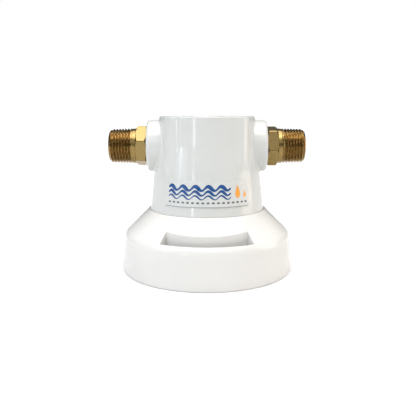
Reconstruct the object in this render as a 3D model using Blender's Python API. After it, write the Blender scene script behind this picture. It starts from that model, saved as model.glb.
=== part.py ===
"""Compact inline water filter with a screw-on base cup.

The moulded head carries both pipe ports and a threaded spigot. The wide base cup screws onto that
spigot and is the foot the filter stands on. A radial-flow carbon element stands in the cup, around
the head's outlet nozzle, and a spring-loaded check valve sits in the outlet port.

Frame: metres, +Z up, origin at the centre of the base ring's underside, +X towards the outlet port,
-Y towards the label.
"""

import math

import bmesh
import bpy
from mathutils import Matrix, Vector

mm = 0.001
TURN = 2 * math.pi

# Driving dimensions ------------------------------------------------------------------------------
HEIGHT = 96.0 * mm
RING_R = 52.6 * mm              # outside of the base ring
SHOULDER_Z = 23.5 * mm          # where the ring's wall would meet the cone above it
SPLIT_Z = 38.5 * mm             # joint line between the base cup and the head
LIP_R = 36.9 * mm               # outer corner of the cup's top lip
NECK_BOTTOM_R = 35.6 * mm
NECK_TOP_R = 29.4 * mm
PORT_Z = 77.6 * mm
BOSS_R = 16.0 * mm
BOSS_X = 37.0 * mm              # outer face of each port boss
BOSS_ROUND = 3.0 * mm
WALL = 2.4 * mm
SEAT_GAP = 0.3 * mm             # left between faces that touch

# Screw joint between head and cup ----------------------------------------------------------------
PITCH = 5.0 * mm
THREAD_TURNS = 1.1
BORE_R = 35.0 * mm              # cup, root of the female thread
FEMALE_CREST_R = 33.3 * mm
FEMALE_START_Z = 28.4 * mm
MALE_CREST_R = 34.5 * mm
SPIGOT_R = 32.7 * mm            # head, root of the male thread
MALE_START_Z = FEMALE_START_Z - PITCH / 2
RIDGE_ROOT = 2.3 * mm
RIDGE_CREST = 1.1 * mm
PILOT_R = 34.4 * mm
SEAL_BORE_R = 33.0 * mm
SEAL_LAND_R = 32.0 * mm
GROOVE_R = 29.9 * mm
SEAL_Z = 17.2 * mm
SEAL_CORD_R = 1.25 * mm

# Base cup ----------------------------------------------------------------------------------------
RING_WALL = 2.0 * mm
SLEEVE_R = 38.8 * mm
FLOOR_Z = 8.0 * mm
FLOOR_UNDER_Z = 4.5 * mm
PEG_R = 5.0 * mm
PEG_TOP_Z = 12.0 * mm
SHOULDER_ROUND = 8.0 * mm
SLOT_IN_R = 45.4 * mm
SLOT_OUT_R = 50.9 * mm
SLOT_HALF_ANGLE = math.radians(31.5)
WEB = 2.2 * mm
WEB_FOOT_Z = 6.0 * mm
SIDE_WEB_ANGLES = [math.radians(a) for a in (62, 90, 118)]

# Head --------------------------------------------------------------------------------------------
SPIGOT_END_Z = 12.5 * mm
CHAMBER_R = 27.8 * mm
ROOF_Z = 60.0 * mm
CREASE_Z = 79.3 * mm            # the front and back panels stand upright above this height
PANEL_HALF_ANGLE = math.radians(40)
COLUMN_AZIMUTH = math.radians(43)
COLUMN_R = 11.0 * mm            # upright round columns at the neck's corners
COLUMN_OUT = 22.0 * mm          # from the neck's axis to a column's
COLUMN_FOOT_Z = 58.0 * mm       # buried, below where a column runs out of the cone
RECESS_R = 26.2 * mm
RECESS_FLOOR_Z = 64.0 * mm
PORT_TUBE_R = 14.2 * mm
PORT_BORE_R = 11.3 * mm
PORT_BORE_DEPTH = 14.0 * mm
SCREW_POSTS = [(x * 12.0 * mm, y * 19.6 * mm) for x in (-1, 1) for y in (-1, 1)]
SCREW_POST_R = 3.7 * mm
SCREW_HOLE_R = 1.8 * mm
SCREW_HOLE_DEPTH = 12.0 * mm
NOZZLE_R = 6.0 * mm
NOZZLE_END_Z = 50.0 * mm
NOZZLE_BORE_R = 3.5 * mm
NOZZLE_SEAL_Z = 53.0 * mm
INLET_POCKET_R = 8.3 * mm
INLET_POCKET_END_X = -14.5 * mm
INLET_DROP_X = -18.8 * mm
INLET_DROP_R = 3.2 * mm

# Check valve, measured along the outlet from the inner end of its pocket --------------------------
VALVE_X = 8.0 * mm
VALVE_POCKET_R = 8.3 * mm
VALVE_R = 8.0 * mm
VALVE_LENGTH = 13.0 * mm
SEAT_BORE_R = 3.2 * mm
SEAT_FACE = 2.8 * mm
CAGE_R = 5.6 * mm
RETAINER_AT = 10.6 * mm
RETAINER_END = 12.2 * mm
POPPET_FACE = 3.4 * mm
POPPET_BACK = 5.0 * mm
POPPET_R = 4.6 * mm
STEM_R = 1.2 * mm
STEM_END = 12.8 * mm

# Pipe nipple, half-inch taper thread --------------------------------------------------------------
THREAD_PITCH = 25.4 / 14 * mm
THREAD_END_R = 10.45 * mm       # crest at the small end
TAPER = 1 / 32                  # radius gained per length
THREAD_DEPTH = 1.15 * mm
HEX_FLATS = 22.2 * mm
HEX_START_X = BOSS_X + 0.4 * mm
HEX_END_X = 44.0 * mm
NIPPLE_END_X = 60.5 * mm
NIPPLE_INNER_X = 24.6 * mm
NIPPLE_BORE_R = 6.8 * mm
HEX_TURNS = {"inlet": math.radians(-12.5), "outlet": math.radians(41.0)}

# Filter element ----------------------------------------------------------------------------------
GASKET_Z = (FLOOR_Z + 0.15 * mm, FLOOR_Z + 1.65 * mm)
LOWER_CAP_Z = (9.8 * mm, 13.2 * mm)
UPPER_CAP_Z = (52.4 * mm, 56.0 * mm)
BLOCK_R = 24.0 * mm
BLOCK_BORE_R = 8.4 * mm
WRAP_R = (24.2 * mm, 25.0 * mm)
NET_R = (25.15 * mm, 25.6 * mm)
CAP_R = 26.7 * mm
CAP_RIM_R = 25.9 * mm
COLLAR_R = (6.45 * mm, 8.0 * mm)
COLLAR_Z = (48.0 * mm, 57.5 * mm)
CORE_R = (6.9 * mm, 8.1 * mm)

# Label -------------------------------------------------------------------------------------------
LABEL_Z = (44.0 * mm, 59.5 * mm)
LABEL_HALF_ANGLE = math.radians(44)
LABEL_GAP = 0.2 * mm
LABEL_THICK = 0.2 * mm

FRONT = -math.pi / 2            # azimuth of -Y about Z, counted from +X
SEGMENTS = 48
SMALL_SEGMENTS = 28


# Tools -------------------------------------------------------------------------------------------
def clear_scene():
    for obj in list(bpy.data.objects):
        bpy.data.objects.remove(obj, do_unlink=True)


def material(name, colour, roughness, metallic=0.0):
    made = bpy.data.materials.new(name)
    made.use_nodes = True
    shader = made.node_tree.nodes["Principled BSDF"]
    shader.inputs["Base Color"].default_value = (*colour, 1.0)
    shader.inputs["Roughness"].default_value = roughness
    shader.inputs["Metallic"].default_value = metallic
    return made


def to_object(name, bm, look=None, sharp=math.radians(35)):
    """One object from a bmesh: normals out, round faces smooth. With no look it is a hidden operand."""
    bmesh.ops.recalc_face_normals(bm, faces=bm.faces)
    mesh = bpy.data.meshes.new(name)
    bm.to_mesh(mesh)
    bm.free()
    mesh.shade_smooth()
    mesh.set_sharp_from_angle(angle=sharp)
    obj = bpy.data.objects.new(name, mesh)
    bpy.context.scene.collection.objects.link(obj)
    if look is None:
        obj.hide_render = True
        obj.display_type = "WIRE"
    else:
        mesh.materials.append(look)
    return obj


def spun_rings(bm, points, steps, start, angle, whole):
    """Copies of (radius, height) points at even steps about Z."""
    rings = []
    for i in range(steps if whole else steps + 1):
        turn = Matrix.Rotation(start + angle * i / steps, 3, "Z")
        rings.append([bm.verts.new(turn @ Vector((r, 0, z))) for r, z in points])
    return rings


def bridge(bm, here, there, closed):
    """Quads between two copies of the same run of points."""
    for j in range(len(here) if closed else len(here) - 1):
        k = (j + 1) % len(here)
        bm.faces.new((here[j], here[k], there[k], there[j]))


def spun(outline, steps=SEGMENTS, start=0.0, angle=TURN):
    """Bmesh of a closed (radius, height) outline spun about Z, a whole turn or a capped sector."""
    bm = bmesh.new()
    whole = abs(angle - TURN) < 1e-9
    rings = spun_rings(bm, outline, steps, start, angle, whole)
    for here, there in zip(rings, rings[1:] + rings[:1] if whole else rings[1:]):
        bridge(bm, here, there, True)
    if not whole:
        bm.faces.new(rings[0])
        bm.faces.new(rings[-1])
    return bm


def turned(profile, steps=SEGMENTS, start=0.0):
    """Bmesh of a profile turned about Z and closed by a flat disc at its first and last points."""
    bm = bmesh.new()
    rings = spun_rings(bm, profile, steps, start, TURN, True)
    for here, there in zip(rings, rings[1:] + rings[:1]):
        bridge(bm, here, there, False)
    bm.faces.new([ring[0] for ring in rings])
    bm.faces.new([ring[-1] for ring in rings])
    return bm


def rod(radius, low, high, steps=SMALL_SEGMENTS):
    return turned([(radius, low), (radius, high)], steps)


def tube(inner, outer, low, high, steps=SEGMENTS):
    return spun([(inner, low), (outer, low), (outer, high), (inner, high)], steps)


def ring_cord(centre_r, cord_r, height, steps=48, sides=8):
    around = [TURN * i / sides for i in range(sides)]
    outline = [(centre_r + cord_r * math.cos(a), height + cord_r * math.sin(a)) for a in around]
    return spun(outline, steps)


def fillet(corner, before, after, radius, pieces=5):
    """Points of an arc that rounds a profile's corner, from the side of before to that of after."""
    corner = Vector(corner)
    towards = (Vector(before) - corner).normalized()
    onwards = (Vector(after) - corner).normalized()
    half = towards.angle(onwards) / 2
    centre = corner + (towards + onwards).normalized() * radius / math.sin(half)
    reach = radius / math.tan(half)
    first = corner + towards * reach - centre
    last = corner + onwards * reach - centre
    sweep = first.angle_signed(last)
    return [tuple(centre + Matrix.Rotation(-sweep * i / pieces, 2) @ first) for i in range(pieces + 1)]


def helical_ridge(root_r, crest_r, start_z, steps_per_turn=32):
    """A thread's ridge: a trapezium swept up a right-hand helix, with its height fading at both ends."""
    bm = bmesh.new()
    steps = round(THREAD_TURNS * steps_per_turn)
    fade = 3
    embed = math.copysign(0.7 * mm, root_r - crest_r)
    rings = []
    for i in range(steps + 1):
        turn = i / steps_per_turn
        share = min(1.0, 0.35 + 0.65 * min(i, steps - i) / fade)
        crest = root_r + (crest_r - root_r) * share
        middle = start_z + PITCH * turn
        section = [(root_r + embed, -RIDGE_ROOT / 2), (root_r, -RIDGE_ROOT / 2), (crest, -RIDGE_CREST / 2),
                   (crest, RIDGE_CREST / 2), (root_r, RIDGE_ROOT / 2), (root_r + embed, RIDGE_ROOT / 2)]
        spin = Matrix.Rotation(TURN * turn, 3, "Z")
        rings.append([bm.verts.new(spin @ Vector((r, 0, middle + dz))) for r, dz in section])
    for lower, upper in zip(rings, rings[1:]):
        bridge(bm, lower, upper, True)
    bm.faces.new(rings[0])
    bm.faces.new(rings[-1])
    return bm


def plate(outline, thickness, azimuth):
    """An upright plate: a (radius, height) outline in the plane through Z at azimuth, centred on it."""
    bm = bmesh.new()
    verts = [bm.verts.new((r, -thickness / 2, z)) for r, z in outline]
    face = bm.faces.new(verts)
    grown = bmesh.ops.extrude_face_region(bm, geom=[face])
    moved = [g for g in grown["geom"] if isinstance(g, bmesh.types.BMVert)]
    bmesh.ops.translate(bm, verts=moved, vec=(0, thickness, 0))
    bm.transform(Matrix.Rotation(azimuth, 4, "Z"))
    return bm


def boolean(target, other, operation):
    change = target.modifiers.new(f"{operation.lower()} {other.name}", "BOOLEAN")
    change.operation = operation
    change.object = other
    change.solver = "EXACT"


def cut(target, name, bm):
    boolean(target, to_object(name, bm), "DIFFERENCE")


def join(target, name, bm):
    boolean(target, to_object(name, bm), "UNION")


def along_x(bm, x=0.0, z=PORT_Z, flip=False):
    """Turns a shape made about Z so that it lies along +X, or -X if flipped, at the ports' height."""
    turn = Matrix.Rotation(-math.pi / 2 if flip else math.pi / 2, 4, "Y")
    bm.transform(Matrix.Translation((x, 0, z)) @ turn)
    return bm


def neck_radius(z):
    return NECK_BOTTOM_R + (NECK_TOP_R - NECK_BOTTOM_R) * (z - SPLIT_Z) / (HEIGHT - SPLIT_Z)


def cone_height(radius):
    """Height of the cup's conical top at a radius."""
    return SPLIT_Z - (radius - LIP_R) * (SPLIT_Z - SHOULDER_Z) / (RING_R - LIP_R)


# Base cup ----------------------------------------------------------------------------------------
def make_base_cup(look):
    lean = math.atan2(SPLIT_Z - SHOULDER_Z, RING_R - LIP_R)
    under = WALL / math.cos(lean)
    ring_in_r = RING_R - RING_WALL
    shoulder = fillet((RING_R, SHOULDER_Z), (RING_R, 0), (LIP_R, SPLIT_Z), SHOULDER_ROUND)
    lip = fillet((LIP_R, SPLIT_Z), (RING_R, SHOULDER_Z), (BORE_R, SPLIT_Z), 0.8 * mm, 2)
    profile = [
        (SLEEVE_R - 1.0 * mm, FLOOR_UNDER_Z),
        (SLEEVE_R, FLOOR_UNDER_Z + 1.0 * mm),
        (SLEEVE_R, cone_height(SLEEVE_R) - under),
        (ring_in_r, cone_height(ring_in_r) - under),
        (ring_in_r, 0.0),
        (RING_R - 0.5 * mm, 0.0),
        (RING_R, 0.5 * mm),
        *shoulder,
        *lip,
        (BORE_R + 0.4 * mm, SPLIT_Z),
        (BORE_R, SPLIT_Z - 0.4 * mm),
        (BORE_R, 25.6 * mm),
        (SEAL_BORE_R, 23.4 * mm),
        (SEAL_BORE_R, FLOOR_Z),
        (PEG_R, FLOOR_Z),
        (PEG_R, PEG_TOP_Z - 0.6 * mm),
        (PEG_R - 0.6 * mm, PEG_TOP_Z),
    ]
    cup = to_object("base_cup", turned(profile), look)
    join(cup, "female_thread", helical_ridge(BORE_R, FEMALE_CREST_R, FEMALE_START_Z))
    web_outline = [
        (SLEEVE_R - 1.0 * mm, WEB_FOOT_Z),
        (ring_in_r + 0.6 * mm, WEB_FOOT_Z),
        (ring_in_r + 0.6 * mm, cone_height(ring_in_r + 0.6 * mm) - under / 2),
        (SLEEVE_R - 1.0 * mm, cone_height(SLEEVE_R) - under / 2),
    ]
    end_web = SLOT_HALF_ANGLE + WEB / 2 / SLOT_IN_R
    wall_r = SLOT_IN_R - 0.1 * mm
    pocket_wall = [
        (wall_r - WEB, WEB_FOOT_Z),
        (wall_r, WEB_FOOT_Z),
        (wall_r, cone_height(wall_r) - under / 2),
        (wall_r - WEB, cone_height(wall_r) - under / 2),
    ]
    for side, facing in (("front", FRONT), ("back", -FRONT)):
        join(cup, f"{side}_pocket_wall",
             spun(pocket_wall, 14, facing - end_web, 2 * end_web))
        for hand in (-1, 1):
            join(cup, f"{side}_pocket_web_{hand}", plate(web_outline, WEB, facing + hand * end_web))
    for facing in (0.0, math.pi):
        for angle in SIDE_WEB_ANGLES:
            join(cup, "side_web", plate(web_outline, WEB, facing + angle - math.pi / 2))
    slot = [
        (SLOT_IN_R, 20.0 * mm),
        (SLOT_OUT_R, 20.0 * mm),
        (SLOT_OUT_R, SPLIT_Z),
        (SLOT_IN_R, SPLIT_Z),
    ]
    for side, facing in (("front", FRONT), ("back", -FRONT)):
        cut(cup, f"{side}_slot", spun(slot, 14, facing - SLOT_HALF_ANGLE, 2 * SLOT_HALF_ANGLE))


# Head --------------------------------------------------------------------------------------------
def corner_column(azimuth):
    column = turned([
        (COLUMN_R, COLUMN_FOOT_Z),
        (COLUMN_R, HEIGHT - 0.6 * mm),
        (COLUMN_R - 0.6 * mm, HEIGHT),
    ], 40)
    column.transform(Matrix.Rotation(azimuth, 4, "Z") @ Matrix.Translation((COLUMN_OUT, 0, 0)))
    return column


def top_recess():
    """The cored-out top of the head, as a cutter that leaves the tubes, posts and ribs standing."""
    recess = to_object("top_recess", rod(RECESS_R, RECESS_FLOOR_Z, HEIGHT + 2 * mm, SEGMENTS))
    tubes = rod(PORT_TUBE_R, -RECESS_R - 2 * mm, RECESS_R + 2 * mm)
    cut(recess, "port_tubes", along_x(tubes))
    for x, y in SCREW_POSTS:
        post = rod(SCREW_POST_R, RECESS_FLOOR_Z - 1 * mm, HEIGHT + 3 * mm, 24)
        post.transform(Matrix.Translation((x, y, 0)))
        cut(recess, "screw_post", post)
    rib = [
        (PORT_TUBE_R - 4 * mm, RECESS_FLOOR_Z - 1 * mm),
        (RECESS_R + 1 * mm, RECESS_FLOOR_Z - 1 * mm),
        (RECESS_R + 1 * mm, HEIGHT - 3 * mm),
        (PORT_TUBE_R - 4 * mm, HEIGHT - 3 * mm),
    ]
    for azimuth in (FRONT, -FRONT):
        cut(recess, "rib", plate(rib, 1.8 * mm, azimuth))
    return recess


def make_head(look):
    groove = 1.6 * mm
    shoulder_z = SPLIT_Z + SEAT_GAP
    profile = [
        (SEAL_LAND_R - 1.0 * mm, SPIGOT_END_Z),
        (SEAL_LAND_R, SPIGOT_END_Z + 1.0 * mm),
        (SEAL_LAND_R, SEAL_Z - groove),
        (GROOVE_R, SEAL_Z - groove),
        (GROOVE_R, SEAL_Z + groove),
        (SEAL_LAND_R, SEAL_Z + groove),
        (SEAL_LAND_R, 22.4 * mm),
        (SPIGOT_R, 23.1 * mm),
        (SPIGOT_R, 35.2 * mm),
        (PILOT_R, 36.0 * mm),
        (PILOT_R, shoulder_z),
        (neck_radius(shoulder_z), shoulder_z),
        (NECK_TOP_R + 0.1 * mm, HEIGHT - 0.6 * mm),
        (NECK_TOP_R - 0.5 * mm, HEIGHT),
    ]
    head = to_object("head", turned(profile), look)
    panel_r = neck_radius(CREASE_Z)
    panel = [
        (RECESS_R - 3 * mm, CREASE_Z - 4 * mm),
        (neck_radius(CREASE_Z - 4 * mm) - 0.4 * mm, CREASE_Z - 4 * mm),
        (panel_r, CREASE_Z),
        (panel_r, HEIGHT - 0.6 * mm),
        (panel_r - 0.6 * mm, HEIGHT),
        (RECESS_R - 3 * mm, HEIGHT),
    ]
    for side, facing in (("front", FRONT), ("back", -FRONT)):
        join(head, f"{side}_panel",
             spun(panel, 12, facing - PANEL_HALF_ANGLE, 2 * PANEL_HALF_ANGLE))
        for hand in (-1, 1):
            join(head, f"{side}_column_{hand}", corner_column(facing + hand * COLUMN_AZIMUTH))
    boss = [
        (BOSS_R, 20.0 * mm),
        *fillet((BOSS_R, BOSS_X), (BOSS_R, 0), (0, BOSS_X), BOSS_ROUND, 4),
    ]
    join(head, "outlet_boss", along_x(turned(boss, 40)))
    join(head, "inlet_boss", along_x(turned(boss, 40), flip=True))
    join(head, "male_thread", helical_ridge(SPIGOT_R, MALE_CREST_R, MALE_START_Z))
    boolean(head, top_recess(), "DIFFERENCE")
    chamber = [
        (CHAMBER_R, SPIGOT_END_Z - 1 * mm),
        (CHAMBER_R, ROOF_Z - 2 * mm),
        (CHAMBER_R - 2 * mm, ROOF_Z),
        (NOZZLE_R, ROOF_Z),
        (NOZZLE_R, NOZZLE_SEAL_Z + 0.8 * mm),
        (NOZZLE_R - 1.2 * mm, NOZZLE_SEAL_Z + 0.8 * mm),
        (NOZZLE_R - 1.2 * mm, NOZZLE_SEAL_Z - 0.8 * mm),
        (NOZZLE_R, NOZZLE_SEAL_Z - 0.8 * mm),
        (NOZZLE_R, NOZZLE_END_Z + 0.5 * mm),
        (NOZZLE_R - 0.5 * mm, NOZZLE_END_Z),
    ]
    cut(head, "chamber", turned(chamber))
    cut(head, "outlet_riser", rod(NOZZLE_BORE_R, NOZZLE_END_Z - 1 * mm, PORT_Z - 0.5 * mm, 20))
    bore_end = BOSS_X - PORT_BORE_DEPTH
    way_r = NOZZLE_BORE_R + 0.5 * mm
    outlet_way = [
        (way_r, -way_r),
        (way_r, VALVE_X),
        (VALVE_POCKET_R, VALVE_X),
        (VALVE_POCKET_R, bore_end),
        (PORT_BORE_R, bore_end),
        (PORT_BORE_R, BOSS_X + 1 * mm),
    ]
    half_step = math.pi / SMALL_SEGMENTS
    cut(head, "outlet_way", along_x(turned(outlet_way, SMALL_SEGMENTS, half_step)))
    inlet_way = [
        (INLET_POCKET_R, -INLET_POCKET_END_X),
        (INLET_POCKET_R, bore_end),
        (PORT_BORE_R, bore_end),
        (PORT_BORE_R, BOSS_X + 1 * mm),
    ]
    cut(head, "inlet_way", along_x(turned(inlet_way, SMALL_SEGMENTS, half_step), flip=True))
    drop = rod(INLET_DROP_R, ROOF_Z - 1 * mm, PORT_Z, 20)
    drop.transform(Matrix.Translation((INLET_DROP_X, 0, 0)))
    cut(head, "inlet_drop", drop)
    for x, y in SCREW_POSTS:
        hole = rod(SCREW_HOLE_R, HEIGHT - SCREW_HOLE_DEPTH, HEIGHT + 1 * mm, 16)
        hole.transform(Matrix.Translation((x, y, 0)))
        cut(head, "screw_hole", hole)


def make_label(look):
    low, high = LABEL_Z
    inner = [(neck_radius(z) + LABEL_GAP, z) for z in (low, high)]
    outline = [inner[0], (inner[0][0] + LABEL_THICK, low), (inner[1][0] + LABEL_THICK, high), inner[1]]
    to_object("label", spun(outline, 16, FRONT - LABEL_HALF_ANGLE, 2 * LABEL_HALF_ANGLE), look)


# Pipe fittings -----------------------------------------------------------------------------------
def taper_thread(small_end, large_end):
    """(radius, x) points of a taper thread's crests and roots, from its small end to its large end."""
    points = []
    inward = math.copysign(1, large_end - small_end)
    count = int(abs(large_end - small_end) / THREAD_PITCH)
    for i in range(count):
        x = small_end + inward * (i + 0.5) * THREAD_PITCH
        crest = THREAD_END_R + TAPER * abs(x - small_end)
        points += [(crest - THREAD_DEPTH, x - inward * THREAD_PITCH / 2), (crest, x - inward * 0.1 * mm),
                   (crest, x + inward * 0.1 * mm)]
    return points


def nipple(name, side, flip, look):
    """A brass hex nipple along X: a thread in the port, the wrench hexagon and a thread outside."""
    outer = taper_thread(NIPPLE_END_X, HEX_END_X + 2.4 * mm)
    neck_r = THREAD_END_R - 0.2 * mm
    outline = [(NIPPLE_BORE_R, NIPPLE_INNER_X), (neck_r, NIPPLE_INNER_X), (neck_r, HEX_END_X + 1.0 * mm),
               *reversed(outer), (NIPPLE_BORE_R, NIPPLE_END_X)]
    made = to_object(name, along_x(spun(outline, 32), flip=flip), look, math.radians(25))
    hexagon = bmesh.new()
    corner_r = HEX_FLATS / math.cos(math.pi / 6) / 2
    length = HEX_END_X - HEX_START_X
    bmesh.ops.create_cone(hexagon, cap_ends=True, segments=6, radius1=corner_r,
                          radius2=corner_r, depth=length)
    middle = (HEX_START_X + HEX_END_X) / 2
    hexagon.transform(Matrix.Translation((0, 0, middle)) @ Matrix.Rotation(HEX_TURNS[side], 4, "Z"))
    prism = to_object(f"{side}_hexagon", along_x(hexagon, flip=flip))
    chamfer = [
        (corner_r - 0.7 * mm, HEX_START_X - 0.05 * mm),
        (corner_r + 0.3 * mm, HEX_START_X + 0.6 * mm),
        (corner_r + 0.3 * mm, HEX_END_X - 1.0 * mm),
        (corner_r - 1.7 * mm, HEX_END_X + 0.05 * mm),
    ]
    ends = [(NIPPLE_BORE_R + 1 * mm, chamfer[0][1]), *chamfer, (NIPPLE_BORE_R + 1 * mm, chamfer[-1][1])]
    trim = to_object(f"{side}_chamfer", along_x(spun(ends, 32), flip=flip))
    boolean(prism, trim, "INTERSECT")
    boolean(made, prism, "UNION")


def make_fittings(looks):
    for side, flip in (("inlet", True), ("outlet", False)):
        nipple(f"{side}_nipple", side, flip, looks["brass"])
        wrap = tube(10.95 * mm, 11.15 * mm, NIPPLE_INNER_X + 1.2 * mm, BOSS_X - 0.8 * mm, 36)
        to_object(f"{side}_thread_tape", along_x(wrap, flip=flip), looks["ptfe"])
    screen_x = BOSS_X - PORT_BORE_DEPTH + 0.15 * mm
    rim = tube(7.7 * mm, 10.9 * mm, screen_x, screen_x + 1.1 * mm, 36)
    to_object("inlet_screen_rim", along_x(rim, flip=True), looks["rubber"])
    mesh_disc = rod(7.5 * mm, screen_x + 0.4 * mm, screen_x + 0.7 * mm)
    to_object("inlet_screen_mesh", along_x(mesh_disc, flip=True), looks["steel"])


# Check valve -------------------------------------------------------------------------------------
def place_on_outlet(obj, axis):
    """Hangs a piece that was modelled along its own Z on the empty that marks the outlet's axis."""
    obj.parent = axis


def make_check_valve(looks):
    axis = bpy.data.objects.new("outlet_axis", None)
    axis.location = (VALVE_X, 0, PORT_Z)
    axis.rotation_euler = (0, math.pi / 2, 0)
    bpy.context.scene.collection.objects.link(axis)
    groove_z = 6.0 * mm
    groove_half = 1.0 * mm
    body = [
        (SEAT_BORE_R, 0.2 * mm),
        (VALVE_R, 0.2 * mm),
        (VALVE_R, groove_z - groove_half),
        (VALVE_R - 1.3 * mm, groove_z - groove_half),
        (VALVE_R - 1.3 * mm, groove_z + groove_half),
        (VALVE_R, groove_z + groove_half),
        (VALVE_R, VALVE_LENGTH),
        (CAGE_R, VALVE_LENGTH),
        (CAGE_R, SEAT_FACE),
        (SEAT_BORE_R, SEAT_FACE),
    ]
    poppet = [
        (POPPET_R, POPPET_FACE),
        (POPPET_R, POPPET_BACK),
        (STEM_R, POPPET_BACK),
        (STEM_R, STEM_END),
    ]
    hub = tube(STEM_R + 0.3 * mm, STEM_R + 1.3 * mm, RETAINER_AT, RETAINER_END, 20)
    pieces = {
        "valve_body": to_object("valve_body", spun(body, 36), looks["acetal"]),
        "valve_o_ring": to_object("valve_o_ring", ring_cord(7.5 * mm, 0.55 * mm, groove_z, 28, 6),
                                  looks["rubber"]),
        "poppet": to_object("poppet", turned(poppet, 28), looks["blue"]),
        "poppet_seal": to_object("poppet_seal", tube(3.0 * mm, 4.4 * mm, SEAT_FACE + 0.1 * mm,
                                                     POPPET_FACE - 0.1 * mm, 28), looks["rubber"]),
        "valve_retainer": to_object("valve_retainer", hub, looks["acetal"]),
    }
    retainer = pieces["valve_retainer"]
    rim = to_object("retainer_rim", tube(CAGE_R - 1.3 * mm, CAGE_R - 0.15 * mm, RETAINER_AT, RETAINER_END, 28))
    helpers = [rim]
    boolean(retainer, rim, "UNION")
    for i in range(3):
        spoke = [(STEM_R + 0.8 * mm, RETAINER_AT + 0.2 * mm), (CAGE_R - 0.8 * mm, RETAINER_AT + 0.2 * mm),
                 (CAGE_R - 0.8 * mm, RETAINER_END - 0.2 * mm), (STEM_R + 0.8 * mm, RETAINER_END - 0.2 * mm)]
        arm = to_object("retainer_spoke", plate(spoke, 1.1 * mm, TURN * i / 3))
        helpers.append(arm)
        boolean(retainer, arm, "UNION")
    for obj in [*pieces.values(), *helpers, make_valve_spring(looks["steel"])]:
        place_on_outlet(obj, axis)


def make_valve_spring(look):
    coil_r, wire_r, turns, per_turn, sides = 3.3 * mm, 0.3 * mm, 4.0, 12, 5
    low = POPPET_BACK + wire_r + 0.15 * mm
    high = RETAINER_AT - wire_r - 0.15 * mm
    bm = bmesh.new()
    rings = []
    count = round(turns * per_turn)
    for i in range(count + 1):
        spin = Matrix.Rotation(TURN * i / per_turn, 3, "Z")
        middle = low + (high - low) * i / count
        around = [TURN * j / sides for j in range(sides)]
        rings.append([bm.verts.new(spin @ Vector((coil_r + wire_r * math.cos(a), 0,
                                                  middle + wire_r * math.sin(a)))) for a in around])
    for lower, upper in zip(rings, rings[1:]):
        bridge(bm, lower, upper, True)
    bm.faces.new(rings[0])
    bm.faces.new(rings[-1])
    return to_object("valve_spring", bm, look)


# Filter element ----------------------------------------------------------------------------------
def make_element(looks):
    low, high = LOWER_CAP_Z
    hub_top = high + 1.8 * mm
    socket_r = PEG_R + 0.4 * mm
    lower_cap = [
        (socket_r, PEG_TOP_Z + 0.6 * mm),
        (socket_r, low),
        (CAP_R, low),
        (CAP_R, high + 2.0 * mm),
        (CAP_RIM_R, high + 2.0 * mm),
        (CAP_RIM_R, high),
        (BLOCK_BORE_R - 0.4 * mm, high),
        (BLOCK_BORE_R - 0.4 * mm, hub_top),
    ]
    to_object("element_lower_cap", turned(lower_cap, 36), looks["blue"])
    low, high = UPPER_CAP_Z
    upper_cap = [
        (COLLAR_R[0], COLLAR_Z[0]),
        (COLLAR_R[1], COLLAR_Z[0]),
        (COLLAR_R[1], low),
        (CAP_RIM_R, low),
        (CAP_RIM_R, low - 2.0 * mm),
        (CAP_R, low - 2.0 * mm),
        (CAP_R, high),
        (COLLAR_R[1] + 0.6 * mm, high),
        (COLLAR_R[1] + 0.6 * mm, COLLAR_Z[1]),
        (COLLAR_R[0], COLLAR_Z[1]),
    ]
    to_object("element_upper_cap", spun(upper_cap, 36), looks["blue"])
    inside = (LOWER_CAP_Z[1] + 0.2 * mm, UPPER_CAP_Z[0] - 0.2 * mm)
    to_object("carbon_block", tube(BLOCK_BORE_R, BLOCK_R, *inside, 36), looks["carbon"])
    to_object("prefilter_wrap", tube(*WRAP_R, inside[0] + 0.2 * mm, inside[1] - 0.2 * mm, 36), looks["fleece"])
    to_object("outer_net", tube(*NET_R, inside[0] + 0.2 * mm, inside[1] - 0.2 * mm, 36), looks["net"])
    core_low, core_high = hub_height() + 0.2 * mm, COLLAR_Z[0] - 0.3 * mm
    core = to_object("core_tube", tube(*CORE_R, core_low, core_high, 28), looks["core"])
    levels = 3
    for i in range(levels):
        z = core_low + (core_high - core_low) * (i + 0.5) / levels
        for azimuth in (0.0, math.pi / 2):
            hole = rod(1.7 * mm, -CORE_R[1] - 1 * mm, CORE_R[1] + 1 * mm, 12)
            hole.transform(Matrix.Translation((0, 0, z)) @ Matrix.Rotation(azimuth, 4, "Z")
                           @ Matrix.Rotation(math.pi / 2, 4, "Y"))
            cut(core, "core_hole", hole)
    to_object("element_gasket", tube(PEG_R + 2.0 * mm, 14.0 * mm, *GASKET_Z, 36), looks["rubber"])


def hub_height():
    return LOWER_CAP_Z[1] + 1.8 * mm


def make_seals(look):
    to_object("main_o_ring", ring_cord(31.35 * mm, SEAL_CORD_R, SEAL_Z), look)
    to_object("nozzle_o_ring", ring_cord(5.6 * mm, 0.5 * mm, NOZZLE_SEAL_Z, 28, 6), look)


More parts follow.
